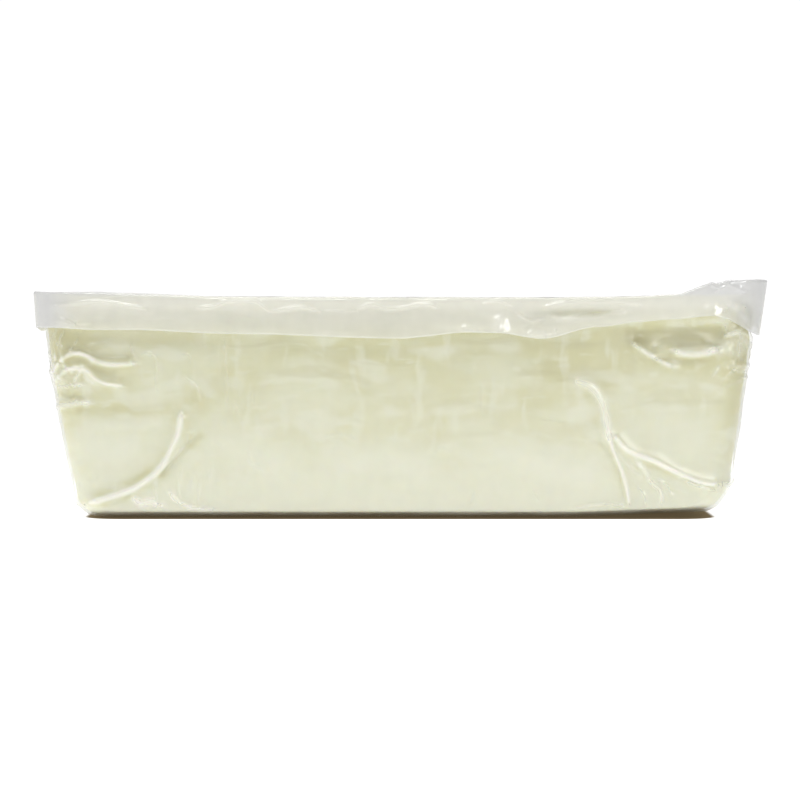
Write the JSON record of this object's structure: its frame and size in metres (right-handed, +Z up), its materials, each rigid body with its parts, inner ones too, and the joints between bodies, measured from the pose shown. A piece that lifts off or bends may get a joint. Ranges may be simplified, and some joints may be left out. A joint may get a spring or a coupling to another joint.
{
  "type": "vacuum-packed mozzarella block",
  "caption": "Whole low-moisture mozzarella loaf, tapered and round-edged, vacuum-packed in clear film with a sealed film skirt folded down round its top.",
  "frame": {"origin": "centre of the flat base that the loaf rests on", "axes": "+Z up; +X along the loaf's length, towards the end where the film skirt stands up; the front long side faces -Y"},
  "size_m": [0.3199, 0.1089, 0.1038],
  "materials": {
    "cheese": "cream cheese under tight glossy film",
    "film": "clear milky film, glossy"
  },
  "bodies": {
    "root": {"mozzarella_block": "cheese", "lid_film": "film"}
  },
  "joints": []
}
